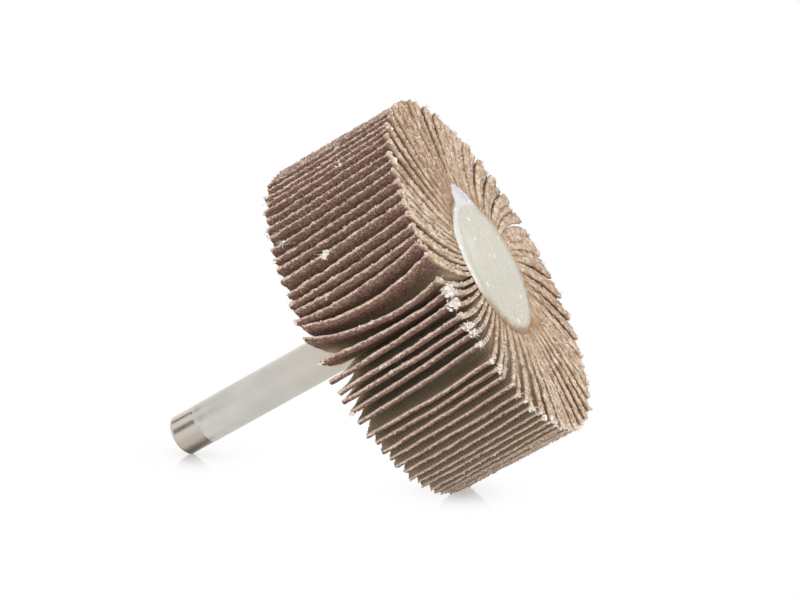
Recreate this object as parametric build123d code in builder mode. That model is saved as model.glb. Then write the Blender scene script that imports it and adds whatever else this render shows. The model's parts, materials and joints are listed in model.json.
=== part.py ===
from build123d import *

import os
from math import asin, atan, atan2, cos, exp, pi, radians, sin, tanh

# Mounted flap wheel in millimetres: strips of abrasive cloth stand round a cast resin core,
# and the core holds a steel shank. The origin is the centre of the shank's end face and +Z is up.
# The wheel lies as it comes to rest, on the end of its shank and the back edge of its rim,
# with its front face towards +X. Azimuths turn about the wheel's axis, in degrees, from the
# top of the wheel towards -Y.
os.makedirs("parts", exist_ok=True)

# Wheel
wheel_diameter = 51.0
wheel_width = 20.0

# Cloth flaps, root to root round the core
flap_count = 88
flap_thickness = 0.68
root_gap = 0.04
flaps_per_node = 2
first_azimuth = 2.4

# How far the tips have swept back, in degrees at the rim. The lean grows outwards by a power,
# front edges have swept further than back edges, and each flap bows at its middle line.
tip_lean = -6.7
lean_growth = 1.5
front_skew = -3.0
tip_bow = 0.4

# Where flaps have parted, in degrees: azimuth, opening to each side and how far round it fades.
# A parting crosses from closed to open over this share of a flap's pitch.
small_partings = ((116.4, 1.3, 8.0), (281.0, 1.4, 9.0))
parting_share = 0.5

# The widest parting lies aslant. At the back edge, the middle line and the front edge of the
# flaps: how much later it comes, its opening, and how far it drags the flaps round.
wide_parting = 87.7
wide_fade = 14.0
drag_fade = 8.0
back_parting = (4.1, 1.5, -4.8)
middle_parting = (0.0, 1.5, 0.0)
front_parting = (0.0, 2.6, -1.5)

# Unevenness from flap to flap: its size, in degrees or millimetres, and its step in radians a flap
sway_unevenness = 0.7
sway_step = 1.74
skew_unevenness = 0.8
skew_step = 1.7
tip_unevenness = 0.12
tip_step = 1.3
fast_share = 0.35
fast_rate = 2.6

# The small flat on which a soft rim rests
flat_spot = 0.3

# Steel shank, and the thinner end that is buried in the resin
shank_diameter = 6.0
shank_reach = 33.0
shank_chamfer = 0.4
seat_diameter = 5.4
seat_depth = 15.0

# Grooves that key the buried end into the resin
key_count = 8
key_width = 0.9
key_depth = 0.35
key_length = 11.0
key_inset = 2.0

# Cast resin core: a disc laps over the flaps' ends, front and back
disc_lap = 0.8
disc_edge = 0.35
front_dome = 0.45
back_dome = 0.9

# Sizes that follow
wheel_radius = wheel_diameter / 2
shank_radius = shank_diameter / 2
seat_radius = seat_diameter / 2
core_radius = flap_count * (flap_thickness + root_gap) / (2 * pi)
disc_radius = core_radius + disc_lap
flap_pitch = 360 / flap_count
front_station = shank_reach + wheel_width
back_crown_station = shank_reach - disc_edge - back_dome

# The wheel leans on the edge of its shank's chamfer and on the flat of its rim
rest_tilt = atan2(wheel_radius - flat_spot - shank_radius, shank_reach - shank_chamfer)
axis_direction = Vector(cos(rest_tilt), 0, sin(rest_tilt))
up_direction = Vector(-sin(rest_tilt), 0, cos(rest_tilt))
floor_height = shank_chamfer * sin(rest_tilt) - shank_radius * cos(rest_tilt)

shank_plane = Plane(origin=(0, 0, 0), x_dir=up_direction, z_dir=axis_direction)
back_plane = shank_plane.offset(shank_reach)
profile_plane = Plane(origin=(0, 0, 0), x_dir=axis_direction, z_dir=(0, -1, 0))
wheel_axis = Axis((0, 0, 0), axis_direction)
floor_plane = Plane.XY.offset(floor_height)


def dome_radius(half_width, rise):
    return (half_width**2 + rise**2) / (2 * rise)


with BuildPart() as shank:
    with BuildSketch(shank_plane):
        Circle(shank_radius)
    extrude(amount=back_crown_station)
    ends = shank.edges().filter_by(GeomType.CIRCLE).sort_by(wheel_axis)
    chamfer(ends[0], shank_chamfer)
    with BuildSketch(shank_plane.offset(back_crown_station)):
        Circle(seat_radius)
    extrude(amount=shank_reach + seat_depth - back_crown_station)
    with BuildSketch(shank_plane.offset(shank_reach + key_inset)):
        with PolarLocations(seat_radius, key_count):
            Rectangle(2 * key_depth, key_width)
    extrude(amount=key_length, mode=Mode.SUBTRACT)
shank.part.label = "shank"
export_step(shank.part, "parts/shank.step")

# Half of the core's section, in (station, radius). Its back dome starts at the shank's shoulder.
with BuildPart() as resin_core:
    with BuildSketch(profile_plane):
        with BuildLine():
            front_crown = (front_station + disc_edge + front_dome, 0)
            front_lip = (front_station + disc_edge, disc_radius - disc_edge)
            RadiusArc(front_crown, front_lip, -dome_radius(front_lip[1], front_dome))
            RadiusArc(front_lip, (front_station, disc_radius), -disc_edge)
            back_lip = (shank_reach - disc_edge, disc_radius - disc_edge)
            back_shoulder = (back_crown_station, shank_radius)
            Polyline(
                (front_station, disc_radius),
                (front_station, core_radius),
                (shank_reach, core_radius),
                (shank_reach, disc_radius),
            )
            RadiusArc((shank_reach, disc_radius), back_lip, -disc_edge)
            RadiusArc(back_lip, back_shoulder, -dome_radius(back_lip[1] - shank_radius, back_dome))
            Polyline(back_shoulder, (back_crown_station, 0), front_crown)
        make_face()
    revolve(axis=wheel_axis)
    add(shank.part, mode=Mode.SUBTRACT)
resin_core.part.label = "resin_core"
export_step(resin_core.part, "parts/resin_core.step")


def uneven(index, step):
    slow = (1 - fast_share) * sin(step * index)
    return slow + fast_share * sin(fast_rate * step * index + 1)


def parted(away, opening, fade):
    return opening * tanh(away / (parting_share * flap_pitch)) * exp(-((away / fade) ** 2))


def section_leans(index):
    # how far the tip leans at the back edge, the middle line and the front edge of a flap
    tip_azimuth = first_azimuth + index * flap_pitch + tip_lean
    lean = tip_lean + sway_unevenness * uneven(index, sway_step)
    for place, opening, fade in small_partings:
        lean += parted(tip_azimuth - place, opening, fade)
    skew = (front_skew + skew_unevenness * uneven(index, skew_step)) / 2
    from_wide = tip_azimuth - wide_parting
    dragged = exp(-((from_wide / drag_fade) ** 2))
    leans = []
    for (later, opening, drag), bend in (
        (back_parting, -skew),
        (middle_parting, tip_bow),
        (front_parting, skew),
    ):
        leans.append(lean + bend + parted(from_wide - later, opening, wide_fade) + drag * dragged)
    return zip((0, wheel_width / 2, wheel_width), leans)


def flap_point(azimuth, lean, tip_radius, share, side):
    # share runs from 0 at the root to 1 at the tip, side is -1 or 1, or 0 on the middle line
    radius = core_radius + (tip_radius - core_radius) * share
    turn = radians(azimuth + lean * share**lean_growth)
    slope = radians(lean) * lean_growth * share ** (lean_growth - 1) / (tip_radius - core_radius)
    heading = turn + atan(radius * slope)
    offset = side * flap_thickness / 2
    return (
        radius * cos(turn) - offset * sin(heading),
        radius * sin(turn) + offset * cos(heading),
    )


def root_point(azimuth, side):
    turn = radians(azimuth) + side * asin(flap_thickness / 2 / core_radius)
    return (core_radius * cos(turn), core_radius * sin(turn))


for first_index in range(0, flap_count, flaps_per_node):
    with BuildPart() as flap_pair:
        for index in range(first_index, min(first_index + flaps_per_node, flap_count)):
            azimuth = first_azimuth + index * flap_pitch
            tip_radius = wheel_radius + tip_unevenness * uneven(index, tip_step)
            for station, lean in section_leans(index):
                near_side = [flap_point(azimuth, lean, tip_radius, share, -1) for share in (0.5, 1)]
                far_side = [flap_point(azimuth, lean, tip_radius, share, 1) for share in (0.5, 1)]
                with BuildSketch(back_plane.offset(station)):
                    with BuildLine():
                        ThreePointArc(root_point(azimuth, -1), near_side[0], near_side[1])
                        Line(near_side[1], far_side[1])
                        ThreePointArc(far_side[1], far_side[0], root_point(azimuth, 1))
                        ThreePointArc(root_point(azimuth, 1), root_point(azimuth, 0), root_point(azimuth, -1))
                    make_face()
            loft()
        if flap_pair.part.bounding_box().min.Z < floor_height:
            split(bisect_by=floor_plane, keep=Keep.TOP)
    node_name = f"flap_pair_{first_index // flaps_per_node + 1:02d}"
    flap_pair.part.label = node_name
    export_step(flap_pair.part, f"parts/{node_name}.step")
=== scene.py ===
import json
from math import cos, exp, pi, radians, sin

import bpy
from mathutils import Matrix, Vector, noise


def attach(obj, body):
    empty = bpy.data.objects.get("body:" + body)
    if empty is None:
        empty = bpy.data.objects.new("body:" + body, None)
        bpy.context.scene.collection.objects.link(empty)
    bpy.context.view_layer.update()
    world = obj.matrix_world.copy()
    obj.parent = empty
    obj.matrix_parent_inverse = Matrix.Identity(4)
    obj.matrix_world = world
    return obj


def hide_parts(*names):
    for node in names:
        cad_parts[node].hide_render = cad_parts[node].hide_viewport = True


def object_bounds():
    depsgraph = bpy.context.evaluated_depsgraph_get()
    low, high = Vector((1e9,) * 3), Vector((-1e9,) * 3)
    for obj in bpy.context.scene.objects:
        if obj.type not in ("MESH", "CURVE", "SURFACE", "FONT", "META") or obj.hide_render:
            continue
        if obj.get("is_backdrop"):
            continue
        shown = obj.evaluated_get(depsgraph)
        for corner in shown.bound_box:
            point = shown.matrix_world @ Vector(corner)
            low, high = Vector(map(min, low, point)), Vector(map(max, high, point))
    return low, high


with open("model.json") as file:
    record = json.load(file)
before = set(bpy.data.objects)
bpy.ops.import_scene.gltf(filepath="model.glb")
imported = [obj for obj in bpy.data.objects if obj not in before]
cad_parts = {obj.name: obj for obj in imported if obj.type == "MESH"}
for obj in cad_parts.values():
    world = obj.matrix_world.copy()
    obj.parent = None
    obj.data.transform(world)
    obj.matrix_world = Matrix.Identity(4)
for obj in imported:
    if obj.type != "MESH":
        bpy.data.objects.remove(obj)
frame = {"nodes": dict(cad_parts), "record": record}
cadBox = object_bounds()
print("frame loaded:", len(frame["nodes"]), "nodes")

mm = 0.001

# The wheel's own directions: along its axis, up its face, and sideways towards -Y
shankMount = next(m for m in frame["record"]["mounts"] if m["name"] == "shank")
axisWay = -Vector(shankMount["axis"]).normalized()
upWay = Vector((-axisWay.z, 0, axisWay.x))
sideWay = axisWay.cross(upWay)
floorLevel = cadBox[0].z

wheel = {
    "radius": 25.5 * mm,
    "width": 20.0 * mm,
    "backStation": 33.0 * mm,
    "flapCount": 88,
    "flapsPerPiece": 2,
    "flapThickness": 0.68 * mm,
    "rootGap": 0.04 * mm,
    "discLap": 0.8 * mm,
}
coreRadius = wheel["flapCount"] * (wheel["flapThickness"] + wheel["rootGap"]) / (2 * pi)
discRadius = coreRadius + wheel["discLap"]
frontStation = wheel["backStation"] + wheel["width"]
flapPitch = 360 / wheel["flapCount"]


def mathMethod(operation, swapped=False):
    # a method of Wire that adds one Math node, with the other value first when swapped
    def add(self, other):
        values = (other, self) if swapped else (self, other)
        return self.graph.math(operation, *values)

    return add


class Wire:
    # one socket of a node tree; arithmetic on it adds Math nodes to that tree
    def __init__(self, graph, socket):
        self.graph = graph
        self.socket = socket

    def out(self, name):
        return Wire(self.graph, self.socket.node.outputs[name])

    __add__ = mathMethod("ADD")
    __radd__ = mathMethod("ADD", True)
    __sub__ = mathMethod("SUBTRACT")
    __rsub__ = mathMethod("SUBTRACT", True)
    __mul__ = mathMethod("MULTIPLY")
    __rmul__ = mathMethod("MULTIPLY", True)
    __truediv__ = mathMethod("DIVIDE")
    __pow__ = mathMethod("POWER")

    def __neg__(self):
        return self * -1


class Graph:
    # adds nodes to one tree: settings go on first, then the values or links of its sockets
    def __init__(self, tree):
        self.tree = tree

    def node(self, kind, settings=None, sockets=None, output=0):
        made = self.tree.nodes.new(kind)
        for name, value in (settings or {}).items():
            setattr(made, name, value)
        for key, value in (sockets or {}).items():
            if isinstance(value, Wire):
                self.tree.links.new(value.socket, made.inputs[key])
            else:
                made.inputs[key].default_value = value
        return Wire(self, made.outputs[output]) if made.outputs else None

    def math(self, operation, *values):
        return self.node("ShaderNodeMath", {"operation": operation}, dict(enumerate(values)))

    def vectorMath(self, operation, *values, output=0):
        return self.node("ShaderNodeVectorMath", {"operation": operation}, dict(enumerate(values)), output)

    def ramp(self, value, low, high, toLow=0.0, toHigh=1.0):
        settings = {"interpolation_type": "SMOOTHSTEP"}
        return self.node("ShaderNodeMapRange", settings, dict(enumerate((value, low, high, toLow, toHigh))))

    def combine(self, x, y, z):
        return self.node("ShaderNodeCombineXYZ", None, {0: x, 1: y, 2: z})

    def split(self, vector):
        parts = self.node("ShaderNodeSeparateXYZ", None, {0: vector})
        return parts, parts.out("Y"), parts.out("Z")

    def noise(self, vector, scale, detail=2.0, roughness=0.5, output=0):
        sockets = {"Vector": vector, "Scale": scale, "Detail": detail, "Roughness": roughness}
        return self.node("ShaderNodeTexNoise", None, sockets, output)

    def mixColour(self, share, first, second, blend="MIX"):
        settings = {"data_type": "RGBA", "blend_type": blend}
        return self.node("ShaderNodeMix", settings, {0: share, 6: linear(first), 7: linear(second)}, 2)

    def layered(self, colour, *layers):
        # lays colours over the first one, each with its share of the surface
        for share, over in layers:
            colour = self.mixColour(share, colour, over)
        return colour


def linear(colour):
    # a colour as seen on a screen, 0 to 255, in the numbers that shaders use; a link stays one
    return colour if isinstance(colour, Wire) else (*((value / 255) ** 2.2 for value in colour), 1)


def newMesh(name, corners, faces=()):
    mesh = bpy.data.meshes.new(name)
    mesh.from_pydata(corners, [], faces)
    return mesh


def newObject(name, data):
    made = bpy.data.objects.new(name, data)
    bpy.context.scene.collection.objects.link(made)
    return made


# Shape of one flap, shared by the flaps and by the fuzz on their edges. Angles are in degrees
# about the axis, from the top of the wheel towards -Y; steps are in radians a flap.
flapShape = {
    "firstAzimuth": 2.4,
    "tipLean": -6.7,
    "leanGrowth": 1.5,
    "frontSkew": -3.0,
    "tipBow": 0.4,
    "smallPartings": ((116.4, 1.3, 8.0), (281.0, 1.4, 9.0)),
    "partingShare": 0.5,
    "wideParting": 87.7,
    "wideFade": 14.0,
    "dragFade": 8.0,
    # the widest parting at the flaps' back edge, middle line and front edge: how much later it
    # comes, its opening, and how far it drags the flaps round
    "wideEdges": ((4.1, 1.5, -4.8), (0.0, 1.5, 0.0), (0.0, 2.6, -1.5)),
    "sway": (0.7, 1.74),  # how uneven, and its step
    "skew": (0.8, 1.7),
    "tip": (0.12 * mm, 1.3),
    "fastShare": 0.35,
    "fastRate": 2.6,
    "ripple": 1.1,
    "rippleScale": 0.16 / mm,
    "rippleSteps": (13 * mm, 2 * mm),  # in its noise, to the next flap and to the tip
    "sideDrift": 0.22 * mm,
    "driftStep": 2.9,
    "driftStart": 0.7,
}


def uneven(g, flap, part):
    # what a part of the shape changes by from flap to flap
    amount, step = flapShape[part]
    slow = (1 - flapShape["fastShare"]) * g.math("SINE", flap * step)
    fast = flapShape["fastShare"] * g.math("SINE", flap * (flapShape["fastRate"] * step) + 1)
    return (slow + fast) * amount


def hump(g, away, spread):
    # 1 where away is 0, fading to both sides
    return g.math("EXPONENT", -((away / spread) * (away / spread)))


def lobe(g, turn, centre, spread):
    # 1 at one azimuth of the wheel, fading round it to both sides; turn is in radians
    away = g.math("COSINE", turn - radians(centre)) - 1
    return g.math("EXPONENT", away / radians(spread) ** 2)


def parted(g, away, opening, fade):
    crossing = g.math("TANH", away / (flapShape["partingShare"] * flapPitch))
    return crossing * hump(g, away, fade) * opening


def partings(g, azimuth, along):
    # how far the partings push a flap's tip; the widest lies aslant, from back edge to front edge
    shift = 0.0
    for place, opening, fade in flapShape["smallPartings"]:
        shift = shift + parted(g, azimuth - place, opening, fade)
    away = azimuth - flapShape["wideParting"]
    dragged = hump(g, away, flapShape["dragFade"])
    back, middle, front = (
        parted(g, away - later, opening, flapShape["wideFade"]) + dragged * drag
        for later, opening, drag in flapShape["wideEdges"]
    )
    curved = ((front + back) / 2 - middle) * along * along
    return shift + middle + (front - back) / 2 * along + curved


def flapPlace(g, size, flap, across, outward, side, proud=0.0):
    # a point of a flap: across from back 0 to front 1, outward from root 0 to tip 1, and side
    # from the cloth's back -1 to its grain face 1; proud lifts it past the tip, in metres
    azimuth = flap * flapPitch + flapShape["firstAzimuth"]
    tipAzimuth = azimuth + flapShape["tipLean"]
    along = across * 2 - 1
    lean = partings(g, tipAzimuth, along) + uneven(g, flap, "sway")
    skew = uneven(g, flap, "skew") + flapShape["frontSkew"]
    nextFlap, toTip = flapShape["rippleSteps"]
    rippleAt = g.combine(across * size["Wheel Width"], flap * nextFlap, outward * toTip)
    ripple = (g.noise(rippleAt, flapShape["rippleScale"], 1) - 0.5) * flapShape["ripple"]
    lean = lean + flapShape["tipLean"] + skew * along / 2 + flapShape["tipBow"] * (1 - along * along) + ripple

    tipRadius = uneven(g, flap, "tip") + size["Wheel Radius"]
    span = tipRadius - size["Core Radius"]
    radius = size["Core Radius"] + span * outward
    turn = g.math("RADIANS", azimuth + lean * outward ** flapShape["leanGrowth"])
    growth = flapShape["leanGrowth"] * outward ** (flapShape["leanGrowth"] - 1)
    heading = turn + g.math("ARCTANGENT", radius * g.math("RADIANS", lean) * growth / span)
    offset = side * size["Flap Thickness"] / 2
    reach = radius + proud
    up = reach * g.math("COSINE", turn) - offset * g.math("SINE", heading)
    sideways = reach * g.math("SINE", turn) + offset * g.math("COSINE", heading)
    drift = g.math("SINE", flap * flapShape["driftStep"] + flapShape["driftStart"])
    drift = drift * g.math("MINIMUM", outward * 2, 1.0) * flapShape["sideDrift"]
    return up, sideways, across * size["Wheel Width"] + size["Back Station"] + drift


def inRow(g, up, sideways, station):
    # from the wheel's own directions to the row's, and no lower than the floor
    x, y, z = (up * upWay[i] + sideways * sideWay[i] + station * axisWay[i] for i in range(3))
    return aboveFloor(g, g.combine(x, y, z))


def aboveFloor(g, place):
    x, y, z = g.split(place)
    return g.combine(x, y, g.math("MAXIMUM", z, floorLevel + 0.01 * mm))


def newTree(name, sizes):
    # a Geometry Nodes tree with one named input for each size
    tree = bpy.data.node_groups.new(name, "GeometryNodeTree")
    tree.interface.new_socket("Geometry", in_out="OUTPUT", socket_type="NodeSocketGeometry")
    for label, value in sizes.items():
        kind = "NodeSocketInt" if isinstance(value, int) else "NodeSocketFloat"
        tree.interface.new_socket(label, in_out="INPUT", socket_type=kind).default_value = value
    g = Graph(tree)
    inputs = g.node("NodeGroupInput")
    return g, {label: inputs.out(label) for label in sizes}


def store(g, geometry, name, value):
    settings = {"data_type": "FLOAT", "domain": "POINT"}
    sockets = {"Geometry": geometry, "Name": name, "Value": value}
    return g.node("GeometryNodeStoreNamedAttribute", settings, sockets)


def recall(g, name):
    return g.node("GeometryNodeInputNamedAttribute", {"data_type": "FLOAT"}, {"Name": name})


def copied(g, points, mesh, sockets=None):
    # one copy of a mesh on each point, as real faces
    sockets = {"Points": points, "Instance": mesh} | (sockets or {})
    copies = g.node("GeometryNodeInstanceOnPoints", None, sockets)
    return g.node("GeometryNodeRealizeInstances", None, {"Geometry": copies})


def position(g):
    return g.node("GeometryNodeInputPosition")


def movedTo(g, geometry, place):
    return g.node("GeometryNodeSetPosition", None, {"Geometry": geometry, "Position": place})


def smooth(g, geometry):
    return g.node("GeometryNodeSetShadeSmooth", None, {"Geometry": geometry})


def scaled(g, vector, factor):
    return g.node("ShaderNodeVectorMath", {"operation": "SCALE"}, {0: vector, "Scale": factor})


def pushed(g, geometry, vector, scale, amount):
    # moves each point by a noise of this vector, which is different from place to place
    push = g.vectorMath("SUBTRACT", g.noise(vector, scale, 1, 0.5, 1), (0.5, 0.5, 0.5))
    place = g.vectorMath("ADD", position(g), scaled(g, push, amount))
    return smooth(g, movedTo(g, geometry, aboveFloor(g, place)))


def endTree(g, geometry, material):
    # what the export needs: real faces and a material
    geometry = g.node("GeometryNodeRealizeInstances", None, {"Geometry": geometry})
    geometry = g.node("GeometryNodeSetMaterial", None, {"Geometry": geometry, "Material": material})
    g.node("NodeGroupOutput", None, {"Geometry": geometry})
    return g.tree


def grow(tree, name, sizes, base=None):
    # runs a tree once with these sizes, on a base mesh if it takes one, and keeps a plain mesh
    made = newObject(name, base or bpy.data.meshes.new(name))
    modifier = made.modifiers.new("Build", "NODES")
    modifier.node_group = tree
    for item in tree.interface.items_tree:
        if item.in_out == "INPUT" and item.name in sizes:
            modifier[item.identifier] = sizes[item.name]
    graph = bpy.context.evaluated_depsgraph_get()
    mesh = bpy.data.meshes.new_from_object(made.evaluated_get(graph))
    made.modifiers.remove(modifier)
    made.data = mesh
    mesh.name = name
    return made


def randomOf(g, low, high, identity, seed):
    sockets = {2: low, 3: high, "ID": identity, "Seed": seed}
    return g.node("FunctionNodeRandomValue", {"data_type": "FLOAT"}, sockets, 1)


# What a tree needs to find a place on a flap
placeSizes = {
    "Wheel Radius": wheel["radius"],
    "Wheel Width": wheel["width"],
    "Back Station": wheel["backStation"],
    "Core Radius": coreRadius,
    "Flap Thickness": wheel["flapThickness"],
}

# Flaps of abrasive cloth
flaps = placeSizes | {
    "First Flap": 0,
    "Flap Count": wheel["flapsPerPiece"],
    "Steps Across": 66,
    "Steps Outward": 24,
    "Steps Through": 4,
    "Fray Depth": 0.26 * mm,
    "Grain Height": 0.07 * mm,
    "Edge Round": 0.1 * mm,
    "Worn Grain": 0.34 * mm,
    "Front Felt": 1.02,
    "Front Matting": 0.55,
    "Back Felt": 0.3,
    "Seed": 4,
}

# The noise that frays the flaps: a flap's width and length in it, its steps from flap to flap and
# through a flap, and the scale, detail and roughness of each kind
frayNoise = {
    "width": 20,
    "length": 15,
    "flapSteps": (3.7, 5.3),
    "throughSteps": (0.35, 0.2),
    "coarse": (1.1, 2, 0.6),
    "fine": (2.9, 2, 0.7),
    "bumps": (3.7, 1),
    "matting": (1.3, 2, 0.6),
}

# The felted ends: which share of the width they take, and where round the wheel the front ones lie
# open or pressed, as an azimuth, how far round it fades, and how much thinner or thicker
feltShape = {
    "front": (0.955, 0.995),
    "back": (0.04, 0.0),
    "sides": ((112, 42, -0.62), (235, 40, 0.12)),
    "thinnest": 0.85,
    "tipFade": (1.0, 0.93, 0.6, 1.0),
}


def felted(g, size, flap, across, outward, matting):
    # how much thicker a flap's end is where its fibres have spread, up to its share of the ring
    turn = g.math("RADIANS", flap * flapPitch + (flapShape["firstAzimuth"] + flapShape["tipLean"]))
    radius = size["Core Radius"] + (size["Wheel Radius"] - size["Core Radius"]) * outward
    fill = size["Front Felt"]
    for centre, spread, change in feltShape["sides"]:
        fill = fill + lobe(g, turn, centre, spread) * change
    fill = fill + matting * size["Front Matting"]
    filled = radius * radians(flapPitch) * fill / size["Flap Thickness"]
    wider = g.math("MAXIMUM", filled, feltShape["thinnest"]) - 1
    atEnds = g.ramp(across, *feltShape["front"]) + g.ramp(across, *feltShape["back"]) * size["Back Felt"]
    return atEnds * wider * g.ramp(outward, *feltShape["tipFade"]) + 1


def wornOff(g, side, depth):
    # how far the tip's grain side has worn back behind its cloth side
    return g.ramp(side, -0.5, 1.0) * depth


def flapTree(material):
    g, size = newTree("Flaps", flaps)
    points = g.node("GeometryNodePoints", None, {"Count": size["Flap Count"]})
    points = store(g, points, "flap", g.node("GeometryNodeInputIndex") + size["First Flap"])
    steps = {"Vertices X": size["Steps Across"], "Vertices Y": size["Steps Outward"]}
    strip = g.node("GeometryNodeMeshCube", None, steps | {"Vertices Z": size["Steps Through"]})
    x, y, z = g.split(position(g))
    strips = store(g, copied(g, points, strip), "across", x + 0.5)
    strips = store(g, strips, "outward", (y + 0.5) * (1.25 - y * 0.5))  # closer rows towards the tip
    strips = store(g, strips, "layer", z * 2)

    flap, across, outward, layer = (recall(g, name) for name in ("flap", "across", "outward", "layer"))
    flapStep, mattingStep = frayNoise["flapSteps"]
    through, mattedThrough = frayNoise["throughSteps"]
    lengthwise = outward * frayNoise["length"]
    place = g.combine(across * frayNoise["width"], flap * flapStep, lengthwise + layer * through)
    mattingPlace = g.combine(flap * mattingStep, lengthwise, layer * mattedThrough)
    coarse = g.noise(place, *frayNoise["coarse"]) - 0.5
    fine = g.noise(place, *frayNoise["fine"]) - 0.5
    fray = (coarse + fine) * size["Fray Depth"] * 2
    atTip = g.ramp(outward, 0.975, 1.0)
    atSides = g.ramp(g.math("ABSOLUTE", across * 2 - 1), 0.985, 1.0)
    rounding = layer * layer * size["Edge Round"]
    bumps = g.noise(place, *frayNoise["bumps"]) - 0.5
    free = g.ramp(outward, 0.12, 0.5)
    matting = g.noise(mattingPlace, *frayNoise["matting"]) - 0.5
    thick = layer * felted(g, size, flap, across, outward, matting)
    thick = thick + layer * atTip * (coarse * 0.9 + fine * 0.9 - 0.05)
    grainHeight = size["Grain Height"] * 2 / size["Flap Thickness"]
    thick = thick + bumps * free * g.math("SIGN", layer) * grainHeight
    proud = atTip * (fray - rounding - wornOff(g, layer, size["Worn Grain"]))
    up, sideways, station = flapPlace(g, size, flap, across, outward, thick, proud)
    station = station + (across * 2 - 1) * atSides * free * (fray * 1.4 - rounding)
    strips = smooth(g, movedTo(g, strips, inRow(g, up, sideways, station)))
    tone = randomOf(g, 0.0, 1.0, g.math("ROUND", flap), size["Seed"])
    return endTree(g, store(g, strips, "tone", tone), material)


# Short fuzz of cut threads, and crumbs of felted fibre and grain, on the free edges of the flaps
edgeSizes = placeSizes | {"Flap Count": wheel["flapCount"], "Worn Grain": flaps["Worn Grain"]}

fuzz = edgeSizes | {
    "Per Flap": 26,
    "Tip Share": 0.6,
    "Front Share": 0.7,
    "Corner Share": 0.15,
    "Fibre Length": 0.26 * mm,
    "Fibre Radius": 0.026 * mm,
    "Curl": 0.6 * mm,
    "Seed": 11,
}

rimCrumbs = edgeSizes | {
    "Per Flap": 52,
    "Tip Share": 0.85,
    "Front Share": 0.3,
    "Corner Share": 0.18,
    "Crumb Radius": 0.08 * mm,
    "Seed": 29,
}

faceCrumbs = edgeSizes | {
    "Per Flap": 50,
    "Tip Share": 0.0,
    "Front Share": 1.0,
    "Corner Share": 0.05,
    "Crumb Radius": 0.1 * mm,
    "Seed": 31,
}

edgeShape = {
    "cornerReach": 0.03,  # the share of an edge that is its corner
    "sides": (-0.95, 0.45),  # from the cloth's back -1 to its grain face 1
    "kinds": (0.18, 0.78),  # from brown grain 0 to white thread 1
    "brownSides": (-0.3, 0.1),
    "probe": 1 * mm,
    "stray": 1.1 * mm,
    "fuzzWaves": 0.9 / mm,
    "tuftWaves": 1.3 / mm,
}


def fibre(g):
    # a thin three-sided spike, one high, whose height is kept for bending it
    sockets = {"Vertices": 3, "Side Segments": 3, "Radius Top": 0.45, "Radius Bottom": 1.0, "Depth": 1.0}
    spike = g.node("GeometryNodeMeshCone", {"fill_type": "TRIANGLE_FAN"}, sockets)
    return store(g, spike, "height", g.split(position(g))[2])


def bent(g, fibres, curl, waviness):
    # bends each fibre its own way, more towards its end
    height = recall(g, "height")
    shift = g.vectorMath("ADD", position(g), (0.37, 0.11, 0.23))
    shift = g.vectorMath("MULTIPLY", shift, (waviness,) * 3)
    ownWay = g.combine(recall(g, "kind") * 91, 0, 0)
    return pushed(g, fibres, g.vectorMath("ADD", shift, ownWay), 1.0, height * height * curl)


def aimed(g, direction):
    return g.node("FunctionNodeAlignRotationToVector", {"axis": "Z"}, {"Vector": direction})


def edgePoints(g, size):
    # random places on the free edges, the way out from each, and a source of chances
    points = g.node("GeometryNodePoints", None, {"Count": size["Flap Count"] * size["Per Flap"]})
    index = g.node("GeometryNodeInputIndex")
    flap = g.math("FLOOR", index / size["Per Flap"])

    def chance(low, high, seed):
        return randomOf(g, low, high, index, size["Seed"] + seed)

    onTip, onFront, atCorner = (
        g.math("LESS_THAN", chance(0.0, 1.0, seed), size[f"{part} Share"])
        for seed, part in enumerate(("Tip", "Front", "Corner"), 1)
    )
    along = chance(0.0, 1.0, 4)
    nearEnd = 1 - along * edgeShape["cornerReach"]
    across = onTip * (atCorner * nearEnd + (1 - atCorner) * along) + (1 - onTip) * onFront
    down = atCorner * nearEnd + (1 - atCorner) * g.math("SQRT", along) * 0.98
    outward = onTip + (1 - onTip) * down
    side = chance(*edgeShape["sides"], 5)
    worn = onTip * -wornOff(g, side, size["Worn Grain"])
    root = inRow(g, *flapPlace(g, size, flap, across, outward, side, worn))
    probe = edgeShape["probe"]
    up, sideways, station = flapPlace(g, size, flap, across, outward, side, onTip * probe)
    beyond = (1 - onTip) * (onFront * 2 - 1) * probe
    aim = g.vectorMath("SUBTRACT", inRow(g, up, sideways, station + beyond), root)
    stray = g.combine(chance(-1.0, 1.0, 6), chance(-1.0, 1.0, 7), chance(-1.0, 1.0, 8))
    aim = g.vectorMath("ADD", aim, scaled(g, stray, edgeShape["stray"]))
    points = movedTo(g, points, root)
    brown = onTip * g.ramp(side, *edgeShape["brownSides"])
    kind = chance(*edgeShape["kinds"], 9) * (1 - brown * 0.7) + atCorner * 0.15
    return store(g, points, "kind", kind), aim, atCorner, chance


def fuzzTree(material):
    g, size = newTree("Edge Fuzz", fuzz)
    points, aim, _, chance = edgePoints(g, size)
    length = chance(0.25, 1.0, 10)
    length = length * length * length * size["Fibre Length"] * 2.2 + size["Fibre Length"] * 0.35
    scale = g.combine(size["Fibre Radius"], size["Fibre Radius"], length)
    fibres = copied(g, points, fibre(g), {"Scale": scale, "Rotation": aimed(g, aim)})
    return endTree(g, bent(g, fibres, size["Curl"], edgeShape["fuzzWaves"]), material)


def crumb(g):
    return g.node("GeometryNodeMeshIcoSphere", None, {"Radius": 1.0, "Subdivisions": 1})


def roughened(g, pieces, amount):
    # pushes the points of the crumbs about, so that no two look alike
    return pushed(g, pieces, position(g), 6.5 / mm, amount)


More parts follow.
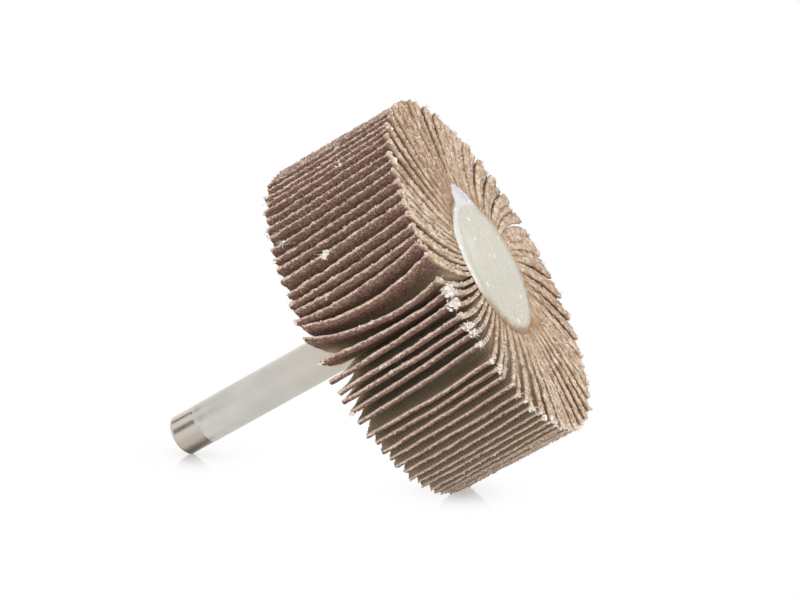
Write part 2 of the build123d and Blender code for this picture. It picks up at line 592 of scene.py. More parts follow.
def crumbTree(material):
    g, size = newTree("Edge Crumbs", rimCrumbs)
    points, aim, atCorner, chance = edgePoints(g, size)
    bulk = chance(0.35, 1.0, 10)
    bulk = (bulk * bulk * 1.3 + 0.45) * (atCorner * 0.7 + 1) * size["Crumb Radius"]
    scale = g.combine(bulk * chance(0.8, 1.9, 11), bulk, bulk * chance(0.7, 1.1, 12))
    pieces = copied(g, points, crumb(g), {"Scale": scale, "Rotation": aimed(g, aim)})
    return endTree(g, roughened(g, pieces, 0.2 * mm), material)


# White tufts of pulled threads on the flaps' edges: azimuth, station from the back, distance from
# the axis, spread and number of threads, the lengths in millimetres
tufts = {
    "places": (
        (60.5, 20, 25.1, 0.5, 16),
        (89.6, 20, 25.4, 0.5, 14),
        (93.1, 20, 25.3, 1.7, 100),
        (97.0, 20, 25.2, 1.3, 64),
        (101.2, 20, 25.4, 0.6, 18),
        (105.3, 20, 25.2, 1.1, 54),
        (109.0, 20, 25.0, 0.9, 40),
        (113.4, 20, 25.4, 0.5, 14),
        (118.0, 20, 24.2, 0.6, 20),
        (122.6, 20, 25.5, 1.0, 46),
        (132.0, 20, 25.4, 0.5, 14),
        (142.4, 20, 25.5, 0.8, 30),
        (152.0, 20, 25.4, 0.5, 14),
        (26.0, 11.5, 25.5, 0.7, 14),
        (36.0, 12.5, 25.5, 0.7, 16),
        (52.9, 2.1, 25.5, 0.6, 16),
        (65.3, 7.2, 25.5, 1.1, 34),
        (78.0, 5.0, 25.5, 0.6, 12),
        (103.1, 7.5, 25.4, 0.6, 12),
        (33.3, 0, 25.5, 0.8, 8),
        (51.6, 0, 25.5, 0.9, 8),
        (97.0, 0.2, 25.2, 0.6, 8),
        (113.0, 0.2, 25.2, 0.8, 12),
        (205.0, 0, 25.4, 0.7, 10),
        (250.0, 20, 25.4, 0.5, 10),
        (277.0, 20, 22.8, 0.6, 14),
        (300.0, 0, 25.4, 0.7, 10),
        (341.0, 20, 25.3, 0.6, 16),
        (95.0, 20, 24.9, 1.3, 44),
    ),
    "threadLength": 0.8,
    "crumbShare": 0.5,
    "crumbRadius": 0.11,
}

tuftSizes = placeSizes | {"Thread Radius": 0.04 * mm, "Curl": 1.5 * mm, "Seed": 23}


def wheelPoint(azimuth, station, radius):
    turn = radians(azimuth)
    out = upWay * cos(turn) + sideWay * sin(turn)
    return axisWay * station + out * radius, out


def tuftPoints():
    # one vertex for each thread or crumb, with its place on a flap, its direction and its length
    shifts, aims, rows = [], [], []
    for azimuth, station, radius, spread, count in tufts["places"]:
        out = wheelPoint(azimuth, 0, 1)[1]
        end = axisWay if station > 10 else -axisWay
        across = station * mm / wheel["width"]
        fromRoot = flapShape["firstAzimuth"] + flapShape["tipLean"] + (across - 0.5) * flapShape["frontSkew"]
        flap = round((azimuth - fromRoot) / flapPitch)
        outward = (radius * mm - coreRadius) / (wheel["radius"] - coreRadius)
        for _ in range(count):
            shift = noise.random_unit_vector() * spread * mm * noise.random() * 0.6
            shifts.append(shift + axisWay * shift.dot(axisWay) * (0.2 if station > 19 else 1.2))
            aims.extend(noise.random_unit_vector() * 0.9 + out * 0.5 + end * 0.35)
            isCrumb = noise.random() < tufts["crumbShare"]
            reach = tufts["crumbRadius"] * (0.5 + spread) if isCrumb else tufts["threadLength"]
            length = reach * (0.35 + noise.random()) * mm
            rows.append((flap, across, outward, length, float(isCrumb)))
    mesh = newMesh("tuftPoints", shifts)
    mesh.attributes.new("aim", "FLOAT_VECTOR", "POINT").data.foreach_set("vector", aims)
    for name, numbers in zip(("flap", "across", "outward", "length", "isCrumb"), zip(*rows)):
        mesh.attributes.new(name, "FLOAT", "POINT").data.foreach_set("value", numbers)
    return mesh


def tuftTree(material):
    g, size = newTree("Thread Tufts", tuftSizes)
    g.tree.interface.new_socket("Points", in_out="INPUT", socket_type="NodeSocketGeometry")
    g.tree.interface.move(g.tree.interface.items_tree["Points"], 0)
    points = g.node("NodeGroupInput").out("Points")
    onEdge = inRow(g, *flapPlace(g, size, recall(g, "flap"), recall(g, "across"), recall(g, "outward"), 0))
    place = aboveFloor(g, g.vectorMath("ADD", onEdge, position(g)))
    white = randomOf(g, 0.8, 1.0, g.node("GeometryNodeInputIndex"), size["Seed"])
    points = store(g, movedTo(g, points, place), "kind", white)
    aim = g.node("GeometryNodeInputNamedAttribute", {"data_type": "FLOAT_VECTOR"}, {"Name": "aim"})
    length = recall(g, "length")
    isCrumb = g.node("FunctionNodeCompare", {"data_type": "FLOAT"}, {0: recall(g, "isCrumb"), 1: 0.5})
    isThread = g.node("FunctionNodeBooleanMath", {"operation": "NOT"}, {0: isCrumb})
    scale = g.combine(size["Thread Radius"], size["Thread Radius"], length)
    sockets = {"Rotation": aimed(g, aim), "Scale": scale, "Selection": isThread}
    threads = bent(g, copied(g, points, fibre(g), sockets), size["Curl"], edgeShape["tuftWaves"])
    sockets |= {"Scale": g.combine(length * 1.4, length, length), "Selection": isCrumb}
    lumps = roughened(g, copied(g, points, crumb(g), sockets), 0.4 * mm)
    joined = g.node("GeometryNodeJoinGeometry")
    for part in (threads, lumps):
        g.tree.links.new(part.socket, joined.socket.node.inputs[0])
    return endTree(g, joined, material)


# Turned and cast pieces: a profile of (station, radius) turned about the axis
def turned(name, profile, steps, shift=None):
    # shift(station, radius, azimuth) returns a changed (station, radius)
    corners = []
    faces = []
    for station, radius in profile:
        for step in range(steps):
            azimuth = 360 * step / steps
            place = shift(station, radius, azimuth) if shift else (station, radius)
            corners.append(wheelPoint(azimuth, *place)[0])
    for row in range(len(profile) - 1):
        for step in range(steps):
            near = row * steps + step
            beside = row * steps + (step + 1) % steps
            faces.append((near, beside, beside + steps, near + steps))
    for row, order in ((0, -1), (len(profile) - 1, 1)):
        ring = [row * steps + step for step in range(steps)][::order]
        pole = len(corners)
        corners.append(sum((corners[corner] for corner in ring), Vector()) / steps)
        faces += [(ring[step], ring[(step + 1) % steps], pole) for step in range(steps)]
    mesh = newMesh(name, corners, faces)
    mesh.validate()
    mesh.shade_smooth()
    return newObject(name, mesh)


def arc(start, end, centre, steps):
    # points of a round stretch from start to end, the first left out
    middle = Vector(centre)
    spoke = Vector(start) - middle
    sweep = spoke.angle_signed(Vector(end) - middle)
    turns = [Matrix.Rotation(-sweep * step / steps, 2) for step in range(1, steps + 1)]
    return [tuple(middle + turn @ spoke) for turn in turns]


def straight(start, end, steps):
    # points of a straight stretch, the first left out
    return [tuple(Vector(start).lerp(Vector(end), step / steps)) for step in range(1, steps + 1)]


resin = {
    "lipRadius": 0.35 * mm,
    "frontDome": 0.45 * mm,
    "backDome": 0.9 * mm,
    "beadWidth": 0.95 * mm,
    "beadHeight": 0.24 * mm,
    "waves": ((2.3, 1.0), (7.1, 0.6), (17.0, 0.4)),
    "wanderAmount": 0.26 * mm,
    "firmShare": 0.6,  # the middle of the disc, which stays round
    "drift": 1.0 * mm,  # the resin ran further to this side
    "driftAzimuth": 113,
    "stretch": 0.8 * mm,  # and lies a little oval
    "shrink": 0.45 * mm,
    # where the painted highlight along the bead lies; the brown stain lies opposite
    "highlightAzimuth": 38,
    "dripAzimuth": 351,
    "dripWidth": 14.5,
    "dripLength": 2.3 * mm,
    "sideInset": 0.3 * mm,
    "rings": 34,
    "lipSteps": 8,
    "stepsRound": 240,
}


def resinProfile():
    backStation = wheel["backStation"]
    front = frontStation + resin["lipRadius"]
    back = backStation - resin["lipRadius"]
    lip = discRadius - resin["lipRadius"]
    rings = resin["rings"]
    steps = resin["lipSteps"]
    shares = [ring / rings for ring in range(rings + 1)]
    frontFace = [
        (front + resin["frontDome"] * (1 - share**2), max(lip * share, 0.01 * mm)) for share in shares
    ]
    frontFace += arc((front, lip), (frontStation, discRadius), (frontStation, lip), steps)
    side = straight((frontStation, discRadius), (frontStation - resin["sideInset"], coreRadius), 3)
    side += straight(side[-1], (backStation + resin["sideInset"], coreRadius), 4)
    side += straight(side[-1], (backStation, discRadius), 3)
    side += arc((backStation, discRadius), (back, lip), (backStation, lip), steps)
    return frontFace + side + [
        (back - resin["backDome"] * (1 - (1 - share) ** 2), lip + (shankShape["radius"] - lip) * share)
        for share in shares[1:]
    ]


def resinShift(station, radius, azimuth):
    # the poured face: a bead round its edge, and an outline that wanders over the flap ends
    turn = radians(azimuth)
    isFront = station > frontStation - 0.1 * mm
    if not isFront and station > wheel["backStation"] + 0.1 * mm:
        return station, radius
    place = Vector((cos(turn), sin(turn), station * 50))
    wander = sum(share * noise.noise(place * often) for often, share in resin["waves"])
    firm = resin["firmShare"] * discRadius
    reach = max(0.0, (radius - firm) / (discRadius - firm)) ** 2
    outline = wander * resin["wanderAmount"]
    if isFront:
        fromDrift = radians(azimuth - resin["driftAzimuth"])
        outline += resin["drift"] * cos(fromDrift) + resin["stretch"] * cos(2 * fromDrift) - resin["shrink"]
        fromDrip = ((azimuth - resin["dripAzimuth"] + 180) % 360 - 180) / resin["dripWidth"]
        outline += resin["dripLength"] * exp(-(abs(fromDrip) ** 3)) * (1 + 0.6 * wander)
    fromLip = (discRadius - resin["lipRadius"] - radius) / resin["beadWidth"]
    bead = max(0.0, 1 - (2 * fromLip - 1) ** 2) if 0 < fromLip < 1 else 0.0
    way = 1 if isFront else -1
    surface = noise.noise(Vector((radius * cos(turn), radius * sin(turn), way)) * 420)
    lift = bead * resin["beadHeight"] * (1 + 0.5 * wander) + surface * 0.05 * mm * min(1, radius / (2 * mm))
    if not isFront and radius < 4 * mm:
        lift = 0.0
    return station + way * lift, radius + outline * reach


shankShape = {
    "radius": shankMount["dims"]["r_mm"] * mm,
    "chamfer": 0.4 * mm,
    "polishedLength": 4.4 * mm,
    "relief": 0.03 * mm,
    "stepsRound": 128,
}


def shankProfile(end):
    radius = shankShape["radius"]
    chamfer = shankShape["chamfer"]
    bare = radius - shankShape["relief"]
    polished = shankShape["polishedLength"]
    face = [(0.0, radius * share) for share in (0.02, 0.3, 0.6, 0.85)]
    face += [(0.0, radius - chamfer), (0.03 * mm, radius - chamfer + 0.03 * mm)]
    face += [(chamfer, bare), (chamfer + 0.15 * mm, bare)]
    face += straight(face[-1], (polished, bare), 6)
    face += [(polished + 0.06 * mm, radius)]
    return face + straight(face[-1], (end, radius), 24)


# Materials
def newMaterial(name):
    material = bpy.data.materials.new(name)
    material.use_nodes = True
    material.node_tree.nodes.clear()
    return material, Graph(material.node_tree)


def finishMaterial(g, sockets):
    shader = g.node("ShaderNodeBsdfPrincipled", None, sockets)
    g.node("ShaderNodeOutputMaterial", None, {"Surface": shader})


def fromMesh(g, name):
    return g.node("ShaderNodeAttribute", {"attribute_name": name}, None, "Fac")


def objectPlace(g):
    return g.node("ShaderNodeTexCoord", None, None, "Object")


def roundAxis(g, place):
    # station along the axis, distance from it, and azimuth in radians
    station, up, sideways = (
        g.vectorMath("DOT_PRODUCT", place, tuple(way), output="Value") for way in (axisWay, upWay, sideWay)
    )
    return station, g.math("SQRT", up * up + sideways * sideways), g.math("ARCTAN2", sideways, up)


def cells(g, place, size):
    # one random number for each cell of this size, and how far from the cell's middle a point is
    sockets = {"Vector": place, "Scale": 1 / size, "Randomness": 1.0}
    found = g.node("ShaderNodeTexVoronoi", {"feature": "F1"}, sockets, "Color")
    return g.node("ShaderNodeSeparateColor", None, {0: found}), found.out("Distance")


def bump(g, height, strength, distance):
    sockets = {"Height": height, "Strength": strength, "Distance": distance}
    return g.node("ShaderNodeBump", None, sockets)


clothLooks = {
    "grainDark": (92, 68, 58),
    "grainMid": (132, 102, 89),
    "grainLight": (196, 168, 152),
    # painted fill light: the grain is painted paler deep down between the flaps
    "grainPaintedFill": (212, 194, 164),
    "backDark": (136, 120, 97),
    "backLight": (168, 152, 127),
    # painted fill light: the cloth backs are painted paler deep down between the flaps
    "backPaintedFill": (224, 212, 186),
    "edgePale": (228, 209, 192),
    "edgeTan": (198, 171, 152),
    # painted shade for the edges round the lower side of the wheel
    "edgePaintedShade": (178, 157, 138),
    "edgeBrown": (116, 87, 75),
    "felt": (238, 221, 200),
    "feltTan": (213, 188, 161),
    "feltBrown": (176, 146, 121),
    "line": (134, 104, 84),
    "stain": (172, 132, 92),
    "grainSize": 0.2 * mm,
    "chipSize": 0.24 * mm,
    "patchScale": 0.45 / mm,
    "cloudScale": 2.2 / mm,
    "ribWidth": 0.5 * mm,
    "ribSlant": -0.42,
    "ribHeight": 0.36,
    "weftWidth": 0.4 * mm,
    "relief": 0.09 * mm,
    # looks that change round the wheel: an azimuth, and how far round it they fade
    # painted fill light deep in one gap between flaps
    "paintedFillGap": (101, 8),
    # painted shade on the edges round the lower side of the wheel
    "paintedShadeEdges": (150, 36),
    # painted rim light: the edges less brown at the top of the wheel
    "paintedRimLightEdges": (15, 36),
    "brownFelt": (12, 22),
    "tanFelt": (250, 40),
}


def clothMaterial():
    looks = clothLooks
    material, g = newMaterial("abrasive_cloth")
    layer = fromMesh(g, "layer")
    tone = fromMesh(g, "tone")
    across = fromMesh(g, "across") * wheel["width"]
    share = fromMesh(g, "outward")
    outward = share * (wheel["radius"] - coreRadius)
    place = objectPlace(g)

    grain, fromGrain = cells(g, place, looks["grainSize"])
    patches = g.noise(place, looks["patchScale"], 3)
    cloudy = g.noise(place, looks["cloudScale"], 2)
    cloud = cloudy - 0.5
    grainColour = g.layered(
        looks["grainDark"],
        (g.ramp(grain + cloud * 0.6, 0.0, 0.9), looks["grainMid"]),
        (g.ramp(grain, 0.84, 0.98) * 0.3, looks["grainLight"]),
        # painted fill light: the grain paler deeper down towards the root
        (g.ramp(share, 0.88, 0.5) * 0.75, looks["grainPaintedFill"]),
    )

    ribAt = (across + outward * looks["ribSlant"]) / looks["ribWidth"] + cloud * 1.1
    rib = g.math("SINE", ribAt * (2 * pi)) * 0.5 + 0.5
    weft = g.math("SINE", outward / looks["weftWidth"] * (2 * pi)) * 0.5 + 0.5
    woven = rib * 0.5 + weft * rib * 0.25 + (grain - 0.5) * 0.3 + 0.05
    turn = roundAxis(g, place)[2]
    # painted fill light: the backs painted paler deep down between the flaps, more in one gap
    paintedFillDepth = share - lobe(g, turn, *looks["paintedFillGap"]) * 0.27
    backColour = g.layered(
        looks["backDark"],
        (woven, looks["backLight"]),
        (g.ramp(patches, 0.45, 0.75) * 0.3, looks["grainMid"]),
        (g.ramp(paintedFillDepth, 0.8, 0.45) * 0.8, looks["backPaintedFill"]),
    )

    # cut edges: pale thread ends with brown grain between them; painted rim light makes them paler at the top
    # of the wheel, and painted shade makes them duller round its lower side
    chips = cells(g, place, looks["chipSize"])[0]
    # painted rim light: less brown on the edges at the top of the wheel
    underside = layer + cloud * 1.6 + (chips - 0.5) * 0.9 - lobe(g, turn, *looks["paintedRimLightEdges"]) * 0.3
    edgeColour = g.layered(
        looks["edgeTan"],
        (g.ramp(cloudy, 0.36, 0.6), looks["edgePale"]),
        # painted shade: duller edges round the lower side of the wheel
        (lobe(g, turn, *looks["paintedShadeEdges"]) * 0.6, looks["edgePaintedShade"]),
        (g.ramp(underside, -0.36, 0.04) * 0.9, looks["edgeBrown"]),
    )

    # the front face: matted ends in streaks that follow the flaps, browner at the top of the
    # wheel, a darker line between flaps, and resin stains near the disc
    followed = turn + g.math("POWER", share, flapShape["leanGrowth"]) * -radians(flapShape["tipLean"])
    matted = g.noise(g.combine(followed * 15, outward * 0.5 / mm, 0), 1.0, 4, 0.6)
    atFront = g.ramp(across, wheel["width"] * 0.968, wheel["width"] * 0.99)
    browner = lobe(g, turn, *looks["brownFelt"]) * 0.13 + lobe(g, turn, *looks["tanFelt"]) * 0.04
    paler = matted - browner
    between = g.ramp(g.math("ABSOLUTE", layer) + cloud * 0.9, 0.78, 1.05)
    nearHub = g.ramp(outward, 4.5 * mm, 0.3 * mm)
    stained = g.ramp(patches + nearHub * 0.2 + (tone - 0.5) * 0.16, 0.55, 0.74)
    felt = g.layered(
        looks["feltBrown"],
        (g.ramp(paler, 0.34, 0.5), looks["feltTan"]),
        (g.ramp(paler + cloud * 0.35, 0.46, 0.62), looks["felt"]),
        (g.ramp(chips, 0.75, 0.95) * 0.12, looks["feltBrown"]),
        (between * 0.75, looks["line"]),
        (stained * 0.7, looks["stain"]),
    )

    nearTip = g.ramp(share, 0.982, 1.0)
    ragged = layer + cloud * 0.6 - nearTip * 0.1
    isGrain = g.ramp(ragged, 0.15, 0.5)
    isBack = g.ramp(ragged, -0.66, -0.8) * (1 - nearTip)
    colour = g.layered(edgeColour, (isGrain, grainColour), (isBack, backColour), (atFront, felt))
    shade = (0.92 + tone * 0.16) * (0.92 + patches * 0.16)
    colour = g.mixColour(1.0, colour, g.combine(shade, shade, shade), "MULTIPLY")

    height = (1 - fromGrain) * (0.35 + grain * 0.65) * (1 - isBack * 0.8) * (1 - atFront * 0.6)
    height = height + rib * isBack * looks["ribHeight"] + chips * (1 - isBack) * 0.3
    height = height + (matted * 2.5 + cloudy * 1.5) * atFront
    normal = bump(g, height, 0.8, looks["relief"])
    roughness = 0.95 - g.ramp(grain, 0.75, 1.0) * isGrain * 0.3
    sockets = {"Base Color": colour, "Roughness": roughness, "Normal": normal}
    finishMaterial(g, sockets | {"Specular IOR Level": 0.3})
    return material


fibreLooks = {
    "grain": (160, 128, 114),
    "tan": (202, 176, 158),
    "pale": (226, 208, 194),
    "white": (242, 234, 225),
    "mixScale": 3.0 / mm,
    "relief": 0.05 * mm,
}


def threadMaterial():
    looks = fibreLooks
    material, g = newMaterial("cotton_threads")
    kind = fromMesh(g, "kind")
    mixed = g.noise(objectPlace(g), looks["mixScale"], 2)
    colour = g.layered(
        looks["tan"],
        (g.ramp(kind + (mixed - 0.5) * 0.3, 0.3, 0.7), looks["pale"]),
        (g.ramp(kind, 0.66, 0.85), looks["white"]),
        (g.ramp(kind, 0.3, 0.22) * 0.9, looks["grain"]),
    )
    normal = bump(g, mixed, 0.4, looks["relief"])
    sockets = {"Base Color": colour, "Roughness": 0.95 - mixed * 0.1, "Normal": normal}
    finishMaterial(g, sockets | {"Specular IOR Level": 0.2})
    return material


resinLooks = {
    "pale": (202, 195, 177),
    "green": (193, 189, 170),
    "stain": (150, 116, 92),
    # the next colour is a painted highlight along the bead
    "rim": (228, 227, 224),
    "glassy": (206, 203, 212),
    "runOut": (196, 172, 158),
    # white dots painted as glints
    "paintedGlint": (252, 252, 250),
    "glintSpacing": 1.7 * mm,
    "glassyReach": (3.0 * mm, 1.6 * mm),
    "runOutReach": (0.9 * mm, 2.4 * mm),
    # the painted spark in the drip: its reach
    "sparkReach": (1.0 * mm, 0.5 * mm),
    "relief": 0.15 * mm,
    "coat": {"Coat Weight": 0.2, "Coat Roughness": 0.12},
    "depth": {"Subsurface Weight": 0.1, "Subsurface Scale": 0.5 * mm},
}


def resinMaterial():
    looks = resinLooks
    material, g = newMaterial("cast_resin")
    place = objectPlace(g)
    station, away, turn = roundAxis(g, place)
    up = away * g.math("COSINE", turn)
    sideways = away * g.math("SINE", turn)
    cloudy = g.noise(g.combine(up * 0.25, sideways, 0), 0.5 / mm, 3)
    fine = g.noise(place, 1.8 / mm, 3)
    wavy = fine - 0.5
    patches = g.noise(place, 0.16 / mm, 2)

    # the thin edge: a painted highlight along the bead on one side, brown where it soaked into the flaps on
    # the other
    fromDrift = turn - radians(resin["driftAzimuth"])
    drift = g.math("COSINE", fromDrift) * resin["drift"]
    stretch = g.math("COSINE", fromDrift * 2) * resin["stretch"]
    fromEdge = drift + stretch + (discRadius - resin["shrink"]) - away
    highlightSide = g.math("COSINE", turn - radians(resin["highlightAzimuth"]))
    paler = g.ramp(fromEdge + wavy * 0.6 * mm, 0.9 * mm, 0.3 * mm) * g.ramp(highlightSide, 0.2, 0.6)
    soaked = g.ramp(fromEdge + wavy * 1.4 * mm, 1.1 * mm, 0.1 * mm) * g.ramp(highlightSide, 0.5, 0.1)

    # the drip: glassy, and running out into the cloth
    drip = wheelPoint(resin["dripAzimuth"], frontStation, discRadius + 0.2 * mm)[0]
    fromDrip = g.vectorMath("DISTANCE", place, tuple(drip), output="Value")
    glassy = g.ramp(fromDrip + wavy * 0.8 * mm, *looks["glassyReach"])
    runOut = g.ramp(away - discRadius + wavy * 1.2 * mm, *looks["runOutReach"]) * glassy

    # painted glints: small white dots with a slight bump that stand in for highlights, most on the side of
    # the painted bead highlight, and a painted spark in the drip
    random, fromMiddle = cells(g, place, looks["glintSpacing"])
    many = g.ramp(patches, 0.42, 0.6) * 0.1 + g.ramp(highlightSide, -0.2, 0.9) * 0.24
    paintedGlint = g.ramp(random, 0.94 - many, 0.945 - many) * g.ramp(fromMiddle, 0.26, 0.14)
    paintedGlint = paintedGlint * g.ramp(station, wheel["backStation"], frontStation) * 0.9
    paintedGlint = g.math("MAXIMUM", paintedGlint, g.ramp(fromDrip, *looks["sparkReach"]) * g.ramp(fine, 0.5, 0.6))
    colour = g.layered(
        looks["green"],
        (g.ramp(cloudy, 0.32, 0.68), looks["pale"]),
        # painted highlight along the bead
        (paler * 0.85, looks["rim"]),
        (soaked * 0.85, looks["stain"]),
        (glassy * 0.85, looks["glassy"]),
        (runOut * 0.8, looks["runOut"]),
        (paintedGlint, looks["paintedGlint"]),
    )
    roughness = 0.26 + g.ramp(fine, 0.4, 0.8) * 0.06 + soaked * 0.4
    normal = bump(g, g.noise(place, 0.5 / mm, 2) + paintedGlint * 0.6, 0.3, looks["relief"])
    sockets = {"Base Color": colour, "Roughness": roughness, "Normal": normal, "Specular IOR Level": 0.4}
    finishMaterial(g, sockets | looks["coat"] | looks["depth"])
    return material


shankLooks = {
    "satin": (196, 192, 186),
    "satinPale": (205, 202, 196),
    # a painted reflection of the brown wheel, on the shank near it
    "paintedWheelReflection": (204, 194, 179),
    "spot": (150, 142, 132),
    "bright": (200, 191, 179),
    "brightPale": (212, 204, 192),
    # a painted dark reflection on the underside of the polished end
    "paintedUnderReflection": (116, 103, 90),
    "wheelReflectionReach": (14 * mm, 30 * mm),
    "spotSpacing": 3.2 * mm,
    "underReflectionSide": (172, 46),  # azimuth, and how far round it fades
    "relief": 0.03 * mm,
}


def shankMaterial():
    looks = shankLooks
    material, g = newMaterial("shank_steel")
    place = objectPlace(g)
    station, away, turn = roundAxis(g, place)
    length = shankShape["polishedLength"]
    ragged = station + (g.noise(place, 3.0 / mm, 2) - 0.5) * 0.12 * mm
    polished = g.ramp(ragged, length + 0.1 * mm, length - 0.05 * mm)
    grind = g.noise(g.combine(station * 14, away, 0), 2.0 / mm, 3)
    blast = g.noise(place, 6.0 / mm, 3)
    cloudy = g.noise(place, 0.2 / mm, 3)

    dots, fromDot = cells(g, place, looks["spotSpacing"])
    spots = g.ramp(dots, 0.8, 0.82) * g.ramp(fromDot, 0.09, 0.05) * 0.35
    # painted dark reflection along the underside of the polished end
    paintedUnderReflection = g.ramp(lobe(g, turn, *looks["underReflectionSide"]), 0.15, 0.95) * 0.9
    grinding = (g.ramp(grind, 0.3, 0.7), looks["brightPale"])
    colour = g.layered(
        looks["satin"],
        (g.ramp(cloudy, 0.3, 0.7), looks["satinPale"]),
        # painted reflection of the brown wheel, stronger towards it
        (g.ramp(station, *looks["wheelReflectionReach"]) * 0.75, looks["paintedWheelReflection"]),
        (spots, looks["spot"]),
        (polished, g.layered(looks["bright"], grinding, (paintedUnderReflection, looks["paintedUnderReflection"]))),
    )

    roughness = 0.36 - polished * 0.1 + (blast - 0.5) * 0.06
    normal = bump(g, blast * (1 - polished), 0.2, looks["relief"])
    sockets = {"Base Color": colour, "Roughness": roughness, "Normal": normal}
    finishMaterial(g, sockets | {"Metallic": 0.8 + polished * 0.2})
    return material


cloth = clothMaterial()
threads = threadMaterial()
print("materials made")

# Build the pieces
tree = flapTree(cloth)
for piece in range(wheel["flapCount"] // wheel["flapsPerPiece"]):
    sizes = flaps | {"First Flap": piece * wheel["flapsPerPiece"]}
    made = grow(tree, f"cloth_flaps_{piece + 1:02d}", sizes)
    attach(made, "root")
    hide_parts(f"flap_pair_{piece + 1:02d}")
print("flaps made:", len(made.data.polygons), "faces in the last piece")

noise.seed_set(tuftSizes["Seed"])
crumbGroup = crumbTree(threads)
for made in (
    grow(fuzzTree(threads), "edge_fuzz", fuzz),
    grow(crumbGroup, "rim_crumbs", rimCrumbs),
    grow(crumbGroup, "face_crumbs", faceCrumbs),
    grow(tuftTree(threads), "thread_tufts", tuftSizes, tuftPoints()),
):
    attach(made, "root")
    print(made.name, "made:", len(made.data.polygons), "faces")

corePiece = turned("resin_disc", resinProfile(), resin["stepsRound"], resinShift)
corePiece.data.materials.append(resinMaterial())
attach(corePiece, "root")
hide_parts("resin_core")

shankPiece = turned("steel_shank", shankProfile(wheel["backStation"]), shankShape["stepsRound"])
shankPiece.data.materials.append(shankMaterial())
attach(shankPiece, "root")
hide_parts("shank")
print("core and shank made")

# Stage: floor, light and camera. The floor shows the object's shadow and reflection near the
# places it stands on, and is white further off.
stage = {
    "floorSize": 3.0,
    "contacts": ((0.4 * mm, shankShape["radius"]), (33.0 * mm, 25.2 * mm)),  # station, down from the axis
    "shadeReach": (5.5 * mm, 8 * mm),
    "shade": 0.6,
    "mirror": 0.65,
    "skyLight": 0.66,
    # lamps: the way to each from the part's middle, its size and its power
    "boxes": {
        "top_box": ((0.05, -0.1, 0.5), 0.5, 0.7),
        "front_box": ((0.45, -0.35, 0.25), 0.35, 0.5),
        "fill_box": ((0.16, -0.6, 0.09), 0.18, 1.0),
        "rim_box": ((-0.25, 0.4, 0.3), 0.22, 0.45),
        "spark_box": ((0.2, 0.5, 0.2), 0.05, 0.03),
    },
    # cards near the shank's polished end, which shows each as a streak: azimuth, width and height
    "flags": {"wide_flag": (72.4, 9 * mm, 6 * mm), "thin_flag": (41.5, 5.5 * mm, 6 * mm)},
    "flagDistance": 20 * mm,
    "flagColour": (0.04, 0.035, 0.03, 1),
    "floorColour": (0.9, 0.9, 0.9, 1),
    "white": (1, 1, 1, 1),
    "mirrorRoughness": 0.06,
}

camera = {
    "place": (0.127673, -0.330718, 0.068181),
    "forward": (-0.27790, 0.95189, -0.12912),
    "roll": 4.405,
    "lens": 112.5,
}


def lit(g):
    # rays that see the stage as plain white: from the camera, and in shine and glass
    seen = g.node("ShaderNodeLightPath", None, None, "Is Camera Ray")
    shine = g.math("MAXIMUM", seen.out("Is Glossy Ray"), seen.out("Is Transmission Ray"))
    return g.math("MAXIMUM", seen, shine)


def floorMaterial():
    material, g = newMaterial("white_floor")
    white = {"Color": stage["white"]}
    glow = g.node("ShaderNodeEmission", None, white | {"Strength": 1.0})
    matt = g.node("ShaderNodeBsdfDiffuse", None, {"Color": stage["floorColour"]})
    shiny = g.node("ShaderNodeBsdfGlossy", None, white | {"Roughness": stage["mirrorRoughness"]})
    seen = g.node("ShaderNodeMixShader", None, {0: stage["mirror"], 1: matt, 2: shiny})
    x, y, _ = g.split(objectPlace(g))
    near = 0.0
    for station, down in stage["contacts"]:
        contact = axisWay * station - upWay * down
        beside, before = stage["shadeReach"]
        near = g.math("MAXIMUM", near, hump(g, x - contact.x, beside) * hump(g, y - contact.y, before))
    share = lit(g) * (1 - near * stage["shade"])
    mixed = g.node("ShaderNodeMixShader", None, {0: share, 1: seen, 2: glow})
    g.node("ShaderNodeOutputMaterial", None, {"Surface": mixed})
    return material


def flagMaterial():
    material, g = newMaterial("dark_flag")
    matt = g.node("ShaderNodeBsdfDiffuse", None, {"Color": stage["flagColour"]})
    g.node("ShaderNodeOutputMaterial", None, {"Surface": matt})
    return material


def stageSheet(name, width, height, material):
    corners = [(x * width / 2, y * height / 2, 0) for x, y in ((-1, -1), (1, -1), (1, 1), (-1, 1))]
    mesh = newMesh(name, corners, [(0, 1, 2, 3)])
    mesh.materials.append(material)
    made = newObject(name, mesh)
    made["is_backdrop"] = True
    return made


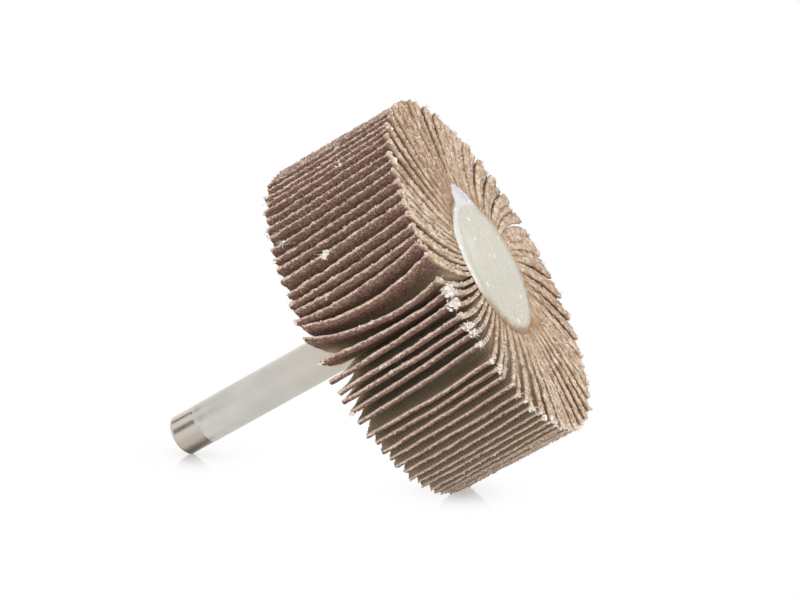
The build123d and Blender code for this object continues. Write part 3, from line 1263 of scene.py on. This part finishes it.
def makeStage():
    floor = stageSheet("floor", stage["floorSize"], stage["floorSize"], floorMaterial())
    floor.data.transform(Matrix.Translation((0, 0, floorLevel)))

    dark = flagMaterial()
    for name, (azimuth, width, height) in stage["flags"].items():
        surface, out = wheelPoint(azimuth, shankShape["polishedLength"] / 2, shankShape["radius"])
        way = (surface - Vector(camera["place"])).normalized().reflect(out)
        across = axisWay.cross(way).normalized()
        card = stageSheet(name, width, height, dark)
        faced = Matrix((across, way.cross(across), way)).transposed().to_4x4()
        card.matrix_world = Matrix.Translation(surface + way * stage["flagDistance"]) @ faced
        for seen in ("camera", "diffuse", "shadow", "transmission"):
            setattr(card, f"visible_{seen}", False)

    world = bpy.data.worlds.new("studio")
    bpy.context.scene.world = world
    world.use_nodes = True
    world.node_tree.nodes.clear()
    g = Graph(world.node_tree)
    strength = lit(g) * (1 - stage["skyLight"]) + stage["skyLight"]
    sky = g.node("ShaderNodeBackground", None, {"Color": stage["white"], "Strength": strength})
    g.node("ShaderNodeOutputWorld", None, {"Surface": sky})

    middle = (cadBox[0] + cadBox[1]) / 2
    for name, (way, size, power) in stage["boxes"].items():
        lamp = bpy.data.lights.new(name, "AREA")
        lamp.shape = "SQUARE"
        lamp.size = size
        lamp.energy = power
        made = newObject(name, lamp)
        made.location = middle + Vector(way)
        made.rotation_euler = (-Vector(way)).to_track_quat("-Z", "Y").to_euler()
        made.visible_camera = False


def makeCamera():
    lens = bpy.data.cameras.new("camera")
    lens.lens = camera["lens"]
    lens.clip_start = 0.01
    made = newObject("camera", lens)
    level = Vector(camera["forward"]).to_track_quat("-Z", "Y").to_matrix()
    rolled = level @ Matrix.Rotation(radians(camera["roll"]), 3, "Z")
    made.matrix_world = Matrix.Translation(camera["place"]) @ rolled.to_4x4()
    bpy.context.scene.camera = made


makeStage()
makeCamera()
bpy.context.scene.view_settings.view_transform = "Standard"
print("stage set")

sizes = {"cad": [list(corner) for corner in cadBox], "visual": [list(corner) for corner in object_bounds()]}
print("sizes:", sizes)
